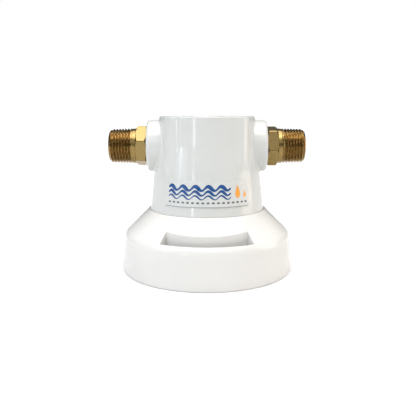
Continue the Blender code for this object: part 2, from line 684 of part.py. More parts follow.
def main():
    clear_scene()
    looks = {
        "white": material("white_plastic", (0.86, 0.86, 0.84), 0.22),
        "brass": material("brass", (0.60, 0.42, 0.16), 0.28, 1.0),
        "ptfe": material("ptfe_tape", (0.90, 0.90, 0.90), 0.50),
        "rubber": material("black_rubber", (0.03, 0.03, 0.03), 0.60),
        "steel": material("stainless_steel", (0.62, 0.62, 0.60), 0.30, 1.0),
        "acetal": material("acetal", (0.75, 0.76, 0.76), 0.40),
        "blue": material("blue_plastic", (0.05, 0.22, 0.55), 0.35),
        "carbon": material("carbon_block", (0.02, 0.02, 0.02), 0.90),
        "fleece": material("fleece", (0.88, 0.88, 0.86), 0.95),
        "net": material("net", (0.80, 0.84, 0.88), 0.55),
        "core": material("core_plastic", (0.82, 0.82, 0.80), 0.50),
        "label": material("label_film", (0.78, 0.78, 0.74), 0.35),
    }
    make_base_cup(looks["white"])
    make_head(looks["white"])
    make_label(looks["label"])
    make_fittings(looks)
    make_check_valve(looks)
    make_element(looks)
    make_seals(looks["rubber"])


main()
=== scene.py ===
"""Looks of a compact inline water filter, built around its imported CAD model.

A white moulded head with two brass hex nipples is screwed into a wide base cup with a grip slot at
the front and back. Everything is in metres, in the CAD model's frame: +Z up, -Y towards the label,
+X towards the outlet.
"""

import math

import bmesh
import bpy
import numpy as np
from mathutils import Matrix, Vector


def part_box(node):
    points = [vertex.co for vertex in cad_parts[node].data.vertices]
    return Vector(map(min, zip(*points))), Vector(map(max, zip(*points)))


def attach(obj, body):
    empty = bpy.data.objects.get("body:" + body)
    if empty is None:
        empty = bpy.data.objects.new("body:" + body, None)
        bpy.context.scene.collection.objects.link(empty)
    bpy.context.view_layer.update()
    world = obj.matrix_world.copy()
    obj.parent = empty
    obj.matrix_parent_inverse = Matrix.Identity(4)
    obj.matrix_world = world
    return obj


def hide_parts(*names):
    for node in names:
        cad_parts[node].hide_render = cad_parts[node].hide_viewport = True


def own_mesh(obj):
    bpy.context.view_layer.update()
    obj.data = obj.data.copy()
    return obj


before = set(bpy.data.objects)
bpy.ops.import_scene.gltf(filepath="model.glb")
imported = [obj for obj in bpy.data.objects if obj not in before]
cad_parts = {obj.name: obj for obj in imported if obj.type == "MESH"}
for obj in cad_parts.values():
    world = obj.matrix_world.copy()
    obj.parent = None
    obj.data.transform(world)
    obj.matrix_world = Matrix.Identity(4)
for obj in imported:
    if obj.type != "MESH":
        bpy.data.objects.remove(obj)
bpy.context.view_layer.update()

mm = 0.001
TURN = 2 * math.pi
FRONT = -math.pi / 2

# Driving dimensions, the CAD model's ---------------------------------------------------------------
HEAD_LOW, HEAD_HIGH = (Vector(c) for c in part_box("head"))
CUP_HIGH = Vector(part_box("base_cup")[1])
FITTING_LOW, FITTING_HIGH = (Vector(c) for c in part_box("outlet_nipple"))
LABEL_LOW, LABEL_HIGH = (Vector(c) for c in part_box("label"))

TOP_Z = HEAD_HIGH.z
BOSS_X = HEAD_HIGH.x
SPLIT_Z = CUP_HIGH.z
RING_R = CUP_HIGH.x
PIPE_END_X = FITTING_HIGH.x
PIPE_INNER_X = FITTING_LOW.x
PORT_Z = 77.6 * mm

# Neck of the head
SHOULDER_Z = SPLIT_Z + 0.02 * mm
NECK_BOTTOM_R = 35.6 * mm
NECK_TOP_R = 29.4 * mm
CREASE_Z = 79.3 * mm                 # the front and back panels stand upright above this height
PANEL_FADE = np.radians([38, 48])    # angles between which a panel gives way to the cone
COLUMN_ANGLE = math.radians(43)      # from the label's side, or from the back
COLUMN_R = 11.0 * mm                 # upright round columns at the neck's corners
COLUMN_OUT = 22.0 * mm               # from the neck's axis to a column's
FINE_FROM_Z = 58.0 * mm              # below the columns' tips, where the neck's rings move closer
RIM_ROUND = 0.6 * mm
RECESS_R = 26.2 * mm
RECESS_FLOOR_Z = 64.0 * mm
BOSS_R = 16.0 * mm
BOSS_EDGE = 3.2 * mm
BOSS_FILLET = 1.3 * mm
PORT_BORE_R = 11.3 * mm
PORT_BORE_X = BOSS_X - 14.0 * mm
PORT_TUBE_R = 14.2 * mm
SCREW_POSTS = [(x * 12.0 * mm, y * 19.6 * mm) for x in (-1, 1) for y in (-1, 1)]
SCREW_POST_R = 3.7 * mm
SCREW_HOLE_R = 1.8 * mm
SCREW_HOLE_END_Z = TOP_Z - 12.0 * mm
RIB_HALF = 0.9 * mm

# Spigot, chamber and nozzle inside the head
SPIGOT_END_Z = HEAD_LOW.z
SPIGOT_R = 32.7 * mm
PILOT_R = 34.4 * mm
SEAL_LAND_R = 32.0 * mm
GROOVE_R = 29.9 * mm
SEAL_Z = 17.2 * mm
GROOVE_HALF = 1.6 * mm
CHAMBER_R = 27.8 * mm
ROOF_Z = 60.0 * mm
NOZZLE_R = 6.0 * mm
NOZZLE_END_Z = 50.0 * mm
NOZZLE_SEAL_Z = 53.0 * mm
NOZZLE_BORE_R = 3.5 * mm

# Screw joint
PITCH = 5.0 * mm
THREAD_TURNS = 1.1
MALE_CREST_R = 34.5 * mm
MALE_START_Z = 25.9 * mm
BORE_R = 35.0 * mm
FEMALE_CREST_R = 33.3 * mm
FEMALE_START_Z = 28.4 * mm

# Base cup
SHOULDER_TOP_Z = 23.5 * mm           # where the ring's wall would meet the cone above it
SHOULDER_ROUND = 8.0 * mm
LIP_R = 36.9 * mm
RING_WALL = 2.0 * mm
RING_IN_R = RING_R - RING_WALL
WALL = 2.4 * mm
CONE_LEAN = math.atan2(SPLIT_Z - SHOULDER_TOP_Z, RING_R - LIP_R)
CONE_WALL = WALL / math.cos(CONE_LEAN)      # the cone's wall, measured upright
SLEEVE_R = 38.8 * mm
FLOOR_Z = 8.0 * mm
FLOOR_UNDER_Z = 4.5 * mm
SEAL_BORE_R = 33.0 * mm
PEG_R = 5.0 * mm
PEG_TOP_Z = 12.0 * mm
SLOT_IN_R = 45.4 * mm
SLOT_OUT_R = 50.75 * mm
SLOT_HALF = math.radians(31.5)
SLOT_EDGE = 0.3 * mm
SLOT_BULGE = 0.5 * mm                # the inner wall stands this far out at the slot's middle
SLOT_BOW = 1.4 * mm                  # and falls back from there by this much at its ends
WEB = 2.2 * mm
WEB_FOOT_Z = 6.0 * mm
ARC_TO_SLOT = math.acos(1 - (RING_R - SLOT_OUT_R - SLOT_EDGE) / SHOULDER_ROUND)
SIDE_WEB_ANGLES = np.radians([-28, 0, 28])
GATE_Z = 11.5 * mm                   # moulding mark on the front of the ring
GATE_R = 1.3 * mm
GATE_DEPTH = 0.1 * mm

# Brass nipples
THREAD_PITCH = 25.4 / 14 * mm
THREAD_END_R = 10.45 * mm
TAPER = 1 / 32
THREAD_DEPTH = 1.0 * mm
HEX_FLATS = 22.2 * mm
HEX_START_X = BOSS_X + 0.4 * mm
HEX_END_X = 44.0 * mm
PIPE_BORE_R = 6.8 * mm
HEX_CORNER_ANGLES = {"inlet": math.radians(17.5), "outlet": math.radians(-11.0)}

# Label, measured from its middle
LABEL_MIDDLE_R = NECK_BOTTOM_R - 1.5 * mm
LABEL_HALF_WIDTH = LABEL_MIDDLE_R * math.radians(44)
LABEL_HALF_HEIGHT = (LABEL_HIGH.z - LABEL_LOW.z) / 2
SHEET_LIFT = 0.22 * mm
INK_LIFT = 0.25 * mm
WAVE_LENGTH = 7.6 * mm
BAR_PITCH = 2.93 * mm


# Mesh tools ----------------------------------------------------------------------------------------
class Shape:
    """Grids of points gathered into one mesh."""

    def __init__(self):
        self.points = []
        self.quads = []
        self.total = 0

    def grid(self, points, closed=True, keep=None):
        """Adds an (n, m, 3) grid as quads. closed joins its last row to its first."""
        n, m = points.shape[:2]
        index = self.total + np.arange(n * m).reshape(n, m)
        if closed:
            index = np.vstack([index, index[:1]])
        quads = np.stack([index[:-1, :-1], index[1:, :-1], index[1:, 1:], index[:-1, 1:]], axis=-1)
        if keep is not None:
            quads = quads[keep]
        self.points.append(points.reshape(-1, 3))
        self.quads.append(quads.reshape(-1, 4))
        self.total += n * m

    def build(self, name, body, look, replaces=(), sharp=35.0):
        mesh = bpy.data.meshes.new(name)
        mesh.from_pydata(np.vstack(self.points).tolist(), [], np.vstack(self.quads).tolist())
        bm = bmesh.new()
        bm.from_mesh(mesh)
        bmesh.ops.remove_doubles(bm, verts=bm.verts, dist=2e-6)
        bmesh.ops.dissolve_degenerate(bm, edges=bm.edges, dist=1e-7)
        bm.to_mesh(mesh)
        bm.free()
        mesh.materials.append(look)
        mesh.shade_smooth()
        mesh.set_sharp_from_angle(angle=math.radians(sharp))
        piece = bpy.data.objects.new(name, mesh)
        bpy.context.scene.collection.objects.link(piece)
        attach(piece, body)
        if replaces:
            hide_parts(*replaces)
        return piece


def moved(points, matrix):
    turn = np.array(matrix.to_3x3())
    return points @ turn.T + np.array(matrix.translation)


def along_x(points, side="outlet"):
    """Lays a shape made about Z along +X at the ports' height, or along -X for the inlet."""
    lay = Matrix.Translation((0, 0, PORT_Z)) @ Matrix.Rotation(math.pi / 2, 4, "Y")
    if side == "inlet":
        lay = Matrix.Rotation(math.pi, 4, "Z") @ lay
    return moved(points, lay)


def rounded(corners, default=0.3 * mm, pieces=4):
    """A path through (radius, height) or (radius, height, rounding) corners, as an (n, 2) array."""
    flat = [np.array(c[:2]) for c in corners]
    path = [flat[0]]
    for i in range(1, len(flat) - 1):
        rounding = corners[i][2] if len(corners[i]) > 2 else default
        back, ahead = flat[i - 1] - flat[i], flat[i + 1] - flat[i]
        length_back, length_ahead = np.linalg.norm(back), np.linalg.norm(ahead)
        back, ahead = back / length_back, ahead / length_ahead
        half = math.acos(np.clip(back @ ahead, -1, 1)) / 2
        if rounding == 0 or half > math.radians(89):
            path.append(flat[i])
            continue
        reach = min(rounding / math.tan(half), 0.48 * length_back, 0.48 * length_ahead)
        radius = reach * math.tan(half)
        centre = flat[i] + (back + ahead) / np.linalg.norm(back + ahead) * radius / math.sin(half)
        first, last = flat[i] + back * reach - centre, flat[i] + ahead * reach - centre
        for step in np.linspace(0, 1, pieces + 1):
            arm = first * (1 - step) + last * step
            path.append(centre + arm / np.linalg.norm(arm) * radius)
    path.append(flat[-1])
    return np.array(path)


def turned(path, azimuths):
    """The grid of a (radius, height) path turned to each azimuth."""
    r, z = path[:, 0], path[:, 1]
    cos, sin = np.cos(azimuths)[:, None], np.sin(azimuths)[:, None]
    return np.stack([cos * r, sin * r, np.broadcast_to(z, (len(azimuths), len(z)))], axis=-1)


def even(count):
    return np.arange(count) * TURN / count


def smooth_min(a, b, k):
    h = np.clip(0.5 + 0.5 * (b - a) / k, 0, 1)
    return b * (1 - h) + a * h - k * h * (1 - h)


def smooth_max(a, b, k):
    return -smooth_min(-a, -b, k)


def smooth_step(low, high, value):
    t = np.clip((value - low) / (high - low), 0, 1)
    return t * t * (3 - 2 * t)


def helical_ridge(shape, root_r, crest_r, start_z, steps=120):
    """A thread's ridge up a right-hand helix, fading in and out at its ends."""
    count = round(THREAD_TURNS * steps)
    turn = np.arange(count + 1) / steps
    fade = smooth_step(0, 0.09, np.minimum(turn, turn[-1] - turn))
    half_root, half_crest, ease = 1.15 * mm, 0.5 * mm, 0.22 * mm
    down = np.array([half_root + ease, half_root, half_crest + ease, half_crest, 0.0])
    share = np.array([-0.35, 0.06, 0.94, 1.0, 1.0])
    offsets = np.concatenate([-down, down[-2::-1]])
    shares = np.concatenate([share, share[-2::-1]])
    r = root_r + (crest_r - root_r) * shares[None, :] * np.where(shares > 0, fade[:, None], 1)
    z = start_z + PITCH * turn[:, None] + offsets[None, :]
    a = TURN * turn[:, None]
    points = np.stack([r * np.cos(a), r * np.sin(a), z], axis=-1)
    shape.grid(points if crest_r > root_r else points[:, ::-1], closed=False)


def box_grid(shape, low, high, edge=0.2 * mm):
    """A plain block with softened edges: four sides and two ends."""
    low, high = np.array(low), np.array(high)
    rows = []
    for inset, z in ((edge, low[2]), (0, low[2] + edge), (0, high[2] - edge), (edge, high[2])):
        x0, y0, x1, y1 = low[0] + inset, low[1] + inset, high[0] - inset, high[1] - inset
        rows.append([(x1, y0, z), (x1, y1, z), (x0, y1, z), (x0, y0, z)])
    sides = np.array(rows).transpose(1, 0, 2)
    middle = (low + high) / 2
    under = np.broadcast_to([middle[0], middle[1], low[2]], (4, 1, 3))
    over = np.broadcast_to([middle[0], middle[1], high[2]], (4, 1, 3))
    shape.grid(np.concatenate([under, sides, over], axis=1))


# Materials -----------------------------------------------------------------------------------------
def add(tree, kind, inputs=None, **settings):
    """A shader node. inputs maps socket names or numbers to values or to other nodes' outputs."""
    made = tree.nodes.new(kind)
    for key, value in settings.items():
        setattr(made, key, value)
    for key, value in (inputs or {}).items():
        if isinstance(value, bpy.types.NodeSocket):
            tree.links.new(value, made.inputs[key])
        else:
            made.inputs[key].default_value = value
    return made


def blank(name, roughness, metallic=0.0):
    """A material, its tree, its shader and the object coordinates that its patterns use."""
    made = bpy.data.materials.new(name)
    made.use_nodes = True
    tree = made.node_tree
    shader = tree.nodes["Principled BSDF"]
    shader.inputs["Roughness"].default_value = roughness
    shader.inputs["Metallic"].default_value = metallic
    return made, tree, shader, add(tree, "ShaderNodeTexCoord").outputs["Object"]


def noise(tree, where, scale, detail=2.0, distortion=0.0):
    return add(tree, "ShaderNodeTexNoise", {"Vector": where, "Scale": scale, "Detail": detail,
                                            "Distortion": distortion}).outputs["Fac"]


def remap(tree, value, low, high, to_low, to_high):
    return add(tree, "ShaderNodeMapRange", {0: value, 1: low, 2: high, 3: to_low, 4: to_high}).outputs[0]


def blend(tree, factor, first, second):
    """A colour between two, each a colour or another node's output."""
    first, second = (c if isinstance(c, bpy.types.NodeSocket) else (*c, 1.0) for c in (first, second))
    mix = add(tree, "ShaderNodeMix", {0: factor, 6: first, 7: second}, data_type="RGBA")
    return mix.outputs[2]


def math_node(tree, operation, *values):
    return add(tree, "ShaderNodeMath", dict(enumerate(values)), operation=operation).outputs[0]


def bump(tree, shader, height, distance, strength=1.0):
    made = add(tree, "ShaderNodeBump", {"Height": height, "Distance": distance, "Strength": strength})
    tree.links.new(made.outputs[0], shader.inputs["Normal"])


def paint(tree, shader, colour, roughness):
    tree.links.new(colour, shader.inputs["Base Color"])
    tree.links.new(roughness, shader.inputs["Roughness"])


def moulded(name, colour, roughness, grain=2600.0, relief=0.004 * mm):
    """Injection-moulded plastic: faint drift in tone and gloss, and a very fine skin."""
    made, tree, shader, where = blank(name, roughness)
    drift = noise(tree, where, 45.0, 3.0)
    dark = tuple(c * 0.965 for c in colour)
    gloss = noise(tree, where, 130.0, 4.0)
    paint(tree, shader, blend(tree, remap(tree, drift, 0.35, 0.65, 0, 1), dark, colour),
          remap(tree, gloss, 0.3, 0.7, roughness - 0.05, roughness + 0.06))
    skin = noise(tree, where, grain, 3.0)
    swell = noise(tree, where, 160.0, 1.0)
    bump(tree, shader, math_node(tree, "MULTIPLY_ADD", swell, 4.0, skin), relief)
    return made


def brass(name, light, dark):
    """Turned brass: painted shade darkens it towards the thread's roots; blotched with tarnish, with fine
    tool marks.
    """
    made, tree, shader, where = blank(name, 0.3, 1.0)
    parts = add(tree, "ShaderNodeSeparateXYZ", {0: where})
    across = math_node(tree, "POWER", parts.outputs[1], 2.0)
    above = math_node(tree, "POWER", math_node(tree, "SUBTRACT", parts.outputs[2], PORT_Z), 2.0)
    radius = math_node(tree, "SQRT", math_node(tree, "ADD", across, above))
    out = math_node(tree, "ABSOLUTE", parts.outputs[0])
    narrowed = math_node(tree, "MULTIPLY", out, TAPER)
    crest = math_node(tree, "SUBTRACT", THREAD_END_R + TAPER * PIPE_END_X, narrowed)
    # depth runs from 0 at the thread's roots to 1 at the crests and the hex; it is the mask of the painted
    # shade in the roots
    depth = remap(tree, math_node(tree, "SUBTRACT", radius, crest), -THREAD_DEPTH, 0.1 * mm, 0.0, 1.0)
    patches = remap(tree, noise(tree, where, 420.0, 5.0, 0.6), 0.35, 0.7, 0.0, 1.0)
    # the dark colour, blotched with real tarnish patches, is also the painted shade in the thread roots
    tarnish_and_root_shade = blend(tree, patches, dark, tuple(0.6 * a + 0.4 * b for a, b in zip(light, dark)))
    # painted shade: the colour goes from the light colour at the crests and hex to the darker colour in the
    # roots
    shade = math_node(tree, "POWER", depth, 1.2)
    paint(tree, shader, blend(tree, shade, tarnish_and_root_shade, light), remap(tree, patches, 0, 1, 0.34, 0.2))
    marks = add(tree, "ShaderNodeTexWave", {"Vector": where, "Scale": 1500.0, "Distortion": 0.6,
                                            "Detail": 2.0, "Detail Scale": 0.4}, bands_direction="X")
    scratches = math_node(tree, "ADD", marks.outputs["Fac"], noise(tree, where, 2400.0, 3.0))
    bump(tree, shader, scratches, 0.006 * mm)
    return made


def rubber(name):
    made, tree, shader, where = blank(name, 0.6)
    drift = noise(tree, where, 300.0, 3.0)
    paint(tree, shader, blend(tree, drift, (0.012, 0.012, 0.013), (0.03, 0.03, 0.03)),
          remap(tree, drift, 0.3, 0.7, 0.5, 0.72))
    bump(tree, shader, noise(tree, where, 5000.0, 2.0), 0.01 * mm)
    return made


def woven(name, colour, gap, pitch, roughness, metallic=0.0):
    """Crossed strands: shining on their crowns and dark between them."""
    made, tree, shader, where = blank(name, roughness, metallic)
    scale = 1 / pitch / 3.2
    strands = [add(tree, "ShaderNodeTexWave", {"Vector": where, "Scale": scale}, bands_direction=axis)
               for axis in ("Y", "Z")]
    height = math_node(tree, "MAXIMUM", *[s.outputs["Fac"] for s in strands])
    paint(tree, shader, blend(tree, height, gap, colour),
          remap(tree, height, 0, 1, roughness + 0.2, roughness))
    bump(tree, shader, height, pitch / 4)
    return made


def steel(name):
    made, tree, shader, where = blank(name, 0.25, 1.0)
    drift = noise(tree, where, 900.0, 3.0)
    paint(tree, shader, blend(tree, drift, (0.45, 0.45, 0.44), (0.68, 0.68, 0.67)),
          remap(tree, drift, 0.3, 0.7, 0.2, 0.36))
    bump(tree, shader, noise(tree, where, 6000.0, 2.0), 0.003 * mm)
    return made


def porous(name, dark, light, scale, relief, roughness):
    """Packed grains or fibres."""
    made, tree, shader, where = blank(name, roughness)
    cells = add(tree, "ShaderNodeTexVoronoi", {"Vector": where, "Scale": scale})
    clump = noise(tree, where, scale * 0.4, 4.0)
    height = math_node(tree, "MULTIPLY", cells.outputs["Distance"], clump)
    paint(tree, shader, blend(tree, remap(tree, height, 0.05, 0.5, 0, 1), dark, light),
          remap(tree, clump, 0.3, 0.7, roughness - 0.08, roughness + 0.05))
    bump(tree, shader, height, relief)
    return made


def tape(name):
    """Sealing tape: soft white, with the edges of its overlapping turns."""
    made, tree, shader, where = blank(name, 0.5)
    laps = add(tree, "ShaderNodeTexWave", {"Vector": where, "Scale": 170.0, "Distortion": 2.0, "Detail": 3.0},
               bands_direction="X", wave_profile="SAW")
    paint(tree, shader, blend(tree, laps.outputs["Fac"], (0.74, 0.74, 0.73), (0.9, 0.9, 0.9)),
          remap(tree, laps.outputs["Fac"], 0, 1, 0.42, 0.58))
    bump(tree, shader, laps.outputs["Fac"], 0.05 * mm)
    return made


def film(name, colour, roughness):
    """Printed or plain label film: a slight orange-peel and drift in its tone."""
    made, tree, shader, where = blank(name, roughness)
    drift = noise(tree, where, 220.0, 4.0)
    paler = tuple(min(1.0, c * 1.06 + 0.004) for c in colour)
    paint(tree, shader, blend(tree, drift, colour, paler),
          remap(tree, drift, 0.3, 0.7, roughness - 0.05, roughness + 0.07))
    bump(tree, shader, noise(tree, where, 1800.0, 3.0), 0.004 * mm)
    return made


# Head ----------------------------------------------------------------------------------------------
def from_label(azimuths):
    """Angle from the nearer of the label's side and the back, 0 to 90 degrees."""
    return np.arccos(np.clip(np.abs(np.sin(azimuths)), 0, 1))


def column_radius(angle):
    """Distance out to the far side of a corner column, or less than the neck's beside it."""
    off = angle - COLUMN_ANGLE
    inside = COLUMN_R**2 - (COLUMN_OUT * np.sin(off))**2
    return COLUMN_OUT * np.cos(off) + np.sqrt(np.maximum(inside, 0))


def cone_radius(z):
    return NECK_BOTTOM_R + (NECK_TOP_R - NECK_BOTTOM_R) * (z - SPLIT_Z) / (TOP_Z - SPLIT_Z)


def neck_radius(angle, z):
    """Distance out to the neck's surface: its cone, upright panels and corner columns."""
    cone = cone_radius(z)
    panelled = smooth_max(cone, cone_radius(CREASE_Z), 0.25 * mm)
    body = cone + (1 - smooth_step(*PANEL_FADE, angle)) * (panelled - cone)
    return smooth_max(body, column_radius(angle), 0.3 * mm)


def neck_azimuths():
    """Azimuths of the head's sections, close together across the corner columns."""
    quarter = np.concatenate([np.arange(0, 26, 2.0), np.arange(26, 64, 0.5), np.arange(64, 90, 2.0)])
    quarter = np.radians(quarter)
    half = np.concatenate([quarter, [math.pi / 2], math.pi - quarter[:0:-1]])
    return np.concatenate([half, half + math.pi]) + FRONT


def head_body(shape):
    """The head without its bosses: up its inside, up its outside and down into the cored-out top."""
    azimuths = neck_azimuths()
    angle = from_label(azimuths)
    inner = rounded([
        (NOZZLE_BORE_R, PORT_Z),
        (NOZZLE_BORE_R, NOZZLE_END_Z),
        (NOZZLE_R, NOZZLE_END_Z, 0.5 * mm),
        (NOZZLE_R, NOZZLE_SEAL_Z - 0.8 * mm, 0.1 * mm),
        (NOZZLE_R - 1.2 * mm, NOZZLE_SEAL_Z - 0.8 * mm, 0.1 * mm),
        (NOZZLE_R - 1.2 * mm, NOZZLE_SEAL_Z + 0.8 * mm, 0.1 * mm),
        (NOZZLE_R, NOZZLE_SEAL_Z + 0.8 * mm, 0.1 * mm),
        (NOZZLE_R, ROOF_Z, 1.0 * mm),
        (CHAMBER_R, ROOF_Z, 2.0 * mm),
        (CHAMBER_R, SPIGOT_END_Z, 0.4 * mm),
        (SEAL_LAND_R, SPIGOT_END_Z, 1.0 * mm),
        (SEAL_LAND_R, SEAL_Z - GROOVE_HALF, 0.15 * mm),
        (GROOVE_R, SEAL_Z - GROOVE_HALF, 0.25 * mm),
        (GROOVE_R, SEAL_Z + GROOVE_HALF, 0.25 * mm),
        (SEAL_LAND_R, SEAL_Z + GROOVE_HALF, 0.15 * mm),
        (SEAL_LAND_R, 22.4 * mm),
        (SPIGOT_R, 23.1 * mm),
        (SPIGOT_R, 35.2 * mm),
        (PILOT_R, 36.0 * mm),
        (PILOT_R, SHOULDER_Z, 0.2 * mm),
        (NECK_BOTTOM_R - 0.1 * mm, SHOULDER_Z, 0),
    ], pieces=3)
    radii = [np.full_like(angle, r) for r in inner[:, 0]]
    heights = list(inner[:, 1])
    lower = np.linspace(SHOULDER_Z + 0.1 * mm, FINE_FROM_Z, 10, endpoint=False)
    upper = np.linspace(FINE_FROM_Z, TOP_Z - RIM_ROUND, 66)
    for z in np.concatenate([lower, upper]):
        radii.append(neck_radius(angle, z))
        heights.append(z)
    outer, inside = neck_radius(angle, TOP_Z - RIM_ROUND), np.full_like(angle, RECESS_R)
    for lean in np.linspace(0, math.pi / 2, 5)[1:]:
        radii.append(outer - RIM_ROUND * (1 - math.cos(lean)))
        heights.append(TOP_Z - RIM_ROUND * (1 - math.sin(lean)))
    for lean in np.linspace(math.pi / 2, 0, 5):
        radii.append(inside + RIM_ROUND * (1 - math.cos(lean)))
        heights.append(TOP_Z - RIM_ROUND * (1 - math.sin(lean)))
    for inset, lift in ((0.0, 1.0 * mm), (0.3 * mm, 0.3 * mm), (1.0 * mm, 0.0), (RECESS_R, 0.0)):
        radii.append(inside - inset)
        heights.append(RECESS_FLOOR_Z + lift)
    r, z = np.stack(radii, axis=1), np.array(heights)
    a = azimuths[:, None]
    shape.grid(np.stack([r * np.cos(a), r * np.sin(a), np.broadcast_to(z, r.shape)], axis=-1))


def neck_side_x(y, z):
    """How far out along X the neck's surface is, at each y and z."""
    x = np.sqrt(np.maximum(NECK_TOP_R**2 - y**2, 0))
    for _ in range(8):
        radius = neck_radius(from_label(np.arctan2(y, x)), z)
        x = np.sqrt(np.maximum(radius**2 - y**2, 0))
    return x


def port_boss(shape, side):
    """A port boss with a filleted foot on the neck, a rounded outer edge and its bore."""
    t = even(96)

    def ring(radius):
        y, z = -radius * np.sin(t), PORT_Z + radius * np.cos(t)
        z = np.minimum(z, TOP_Z - RIM_ROUND)
        return np.stack([neck_side_x(y, z), y, z], axis=-1)

    foot, corner = ring(BOSS_R + BOSS_FILLET), ring(BOSS_R)
    rise = corner + np.array([BOSS_FILLET, 0, 0])
    rows = [foot * (1 - s)**2 + corner * 2 * s * (1 - s) + rise * s**2 for s in np.linspace(0, 1, 7)]
    end = rounded([
        (BOSS_R, BOSS_X - 5.0 * mm),
        (BOSS_R, BOSS_X, BOSS_EDGE),
        (PORT_BORE_R + 0.7 * mm, BOSS_X, 0.1 * mm),
        (PORT_BORE_R, BOSS_X - 0.7 * mm, 0.1 * mm),
        (PORT_BORE_R, PORT_BORE_X, 0.2 * mm),
        (6.0 * mm, PORT_BORE_X),
    ], pieces=8)
    for radius, x in end:
        rows.append(np.stack([np.full_like(t, x), -radius * np.sin(t), PORT_Z + radius * np.cos(t)], axis=-1))
    points = np.stack(rows, axis=1)
    if side == "inlet":
        points = moved(points, Matrix.Rotation(math.pi, 4, "Z"))
    shape.grid(points)


def head_recess_details(shape):
    """What stands in the cored-out top: the port tubes, screw posts and ribs."""
    tube = np.array([(PORT_TUBE_R, -RECESS_R - 1 * mm), (PORT_TUBE_R, RECESS_R + 1 * mm)])
    shape.grid(along_x(turned(tube, even(72))))
    for x, y in SCREW_POSTS:
        post = rounded([
            (SCREW_POST_R, RECESS_FLOOR_Z - 1 * mm),
            (SCREW_POST_R, TOP_Z, 0.3 * mm),
            (SCREW_HOLE_R, TOP_Z, 0.3 * mm),
            (SCREW_HOLE_R, SCREW_HOLE_END_Z, 0),
            (0.0, SCREW_HOLE_END_Z),
        ])
        shape.grid(moved(turned(post, even(40)), Matrix.Translation((x, y, 0))))
    for facing in (-1, 1):
        inner, outer = sorted((facing * (PORT_TUBE_R - 2 * mm), facing * (RECESS_R + 1.5 * mm)))
        box_grid(shape, (-RIB_HALF, inner, RECESS_FLOOR_Z - 1 * mm), (RIB_HALF, outer, TOP_Z - 3 * mm))


def make_head(look):
    shape = Shape()
    head_body(shape)
    helical_ridge(shape, SPIGOT_R, MALE_CREST_R, MALE_START_Z)
    head_recess_details(shape)
    for side in ("inlet", "outlet"):
        port_boss(shape, side)
    shape.build("head_moulding", "head", look, replaces=["head"])


# Base cup ------------------------------------------------------------------------------------------
def cone_height(radius):
    return SPLIT_Z - (radius - LIP_R) * (SPLIT_Z - SHOULDER_TOP_Z) / (RING_R - LIP_R)


def shoulder_height(radius):
    """Height of the cup's upper side: the cone, then the rounding into the ring's wall."""
    reach = SHOULDER_ROUND * math.tan(math.pi / 4 - CONE_LEAN / 2)
    centre_r, centre_z = RING_R - SHOULDER_ROUND, SHOULDER_TOP_Z - reach
    arc = centre_z + np.sqrt(np.maximum(SHOULDER_ROUND**2 - np.maximum(radius - centre_r, 0)**2, 0))
    return np.where(radius > centre_r + SHOULDER_ROUND * math.sin(CONE_LEAN), arc, cone_height(radius))


def cup_azimuths():
    """Azimuths of the cup's sections, with one on each side of the slots' rounded ends."""
    spread = SLOT_EDGE / SLOT_IN_R
    keys = [0.0, SLOT_HALF, SLOT_HALF + spread, math.pi - SLOT_HALF - spread, math.pi - SLOT_HALF]
    steps = [28, 1, 52, 1, 28]
    half = np.concatenate([np.linspace(a, b, n, endpoint=False)
                           for a, b, n in zip(keys, [*keys[1:], math.pi], steps)])
    return np.concatenate([half, half + math.pi]) + FRONT


def slot_distance(azimuths):
    """Angle from the middle of the nearer slot."""
    return np.abs((azimuths - FRONT + math.pi / 2) % math.pi - math.pi / 2)


def slot_bow(azimuths):
    """How far the slot's inner wall stands out from its even radius, along the slot."""
    return SLOT_BULGE - SLOT_BOW * np.minimum(slot_distance(azimuths) / SLOT_HALF, 1.05)**2


def slot_walls(shape, facing):
    """The rolled edge and walls of a grip slot, round its four sides."""
    wide, spread = SLOT_HALF + SLOT_EDGE / SLOT_IN_R, np.linspace(0, 1, 9)
    near, far = SLOT_IN_R - SLOT_EDGE, SLOT_OUT_R + SLOT_EDGE
    across = np.concatenate([[-wide], np.linspace(-SLOT_HALF, SLOT_HALF, 57), [wide]])
    loop = [(a, far) for a in across]
    loop += [(wide, far + (near - far) * s) for s in spread[1:-1]]
    loop += [(a, near) for a in across[::-1]]
    loop += [(-wide, near + (far - near) * s) for s in spread[1:-1]]
    loop = np.array(loop)
    edge_a, edge_r = loop[:, 0], loop[:, 1]
    bow = slot_bow(edge_a + facing) * (far - edge_r) / (far - near)
    wall_a = np.clip(edge_a, -SLOT_HALF, SLOT_HALF)
    wall_r = np.clip(edge_r, SLOT_IN_R, SLOT_OUT_R) + bow
    edge_r = edge_r + bow
    rows = []
    for lean in np.linspace(0, math.pi / 2, 5):
        a = edge_a + (wall_a - edge_a) * math.sin(lean)
        r = edge_r + (wall_r - edge_r) * math.sin(lean)
        rows.append((a, r, shoulder_height(r) - SLOT_EDGE * (1 - math.cos(lean))))
    deep = np.where(wall_r < SLOT_OUT_R, WEB_FOOT_Z, cone_height(wall_r) - CONE_WALL - 1 * mm)
    rows.append((wall_a, wall_r, deep))
    rings = [np.stack([r * np.cos(a + facing), r * np.sin(a + facing), z], axis=-1) for a, r, z in rows]
    shape.grid(np.stack(rings, axis=1)[::-1])


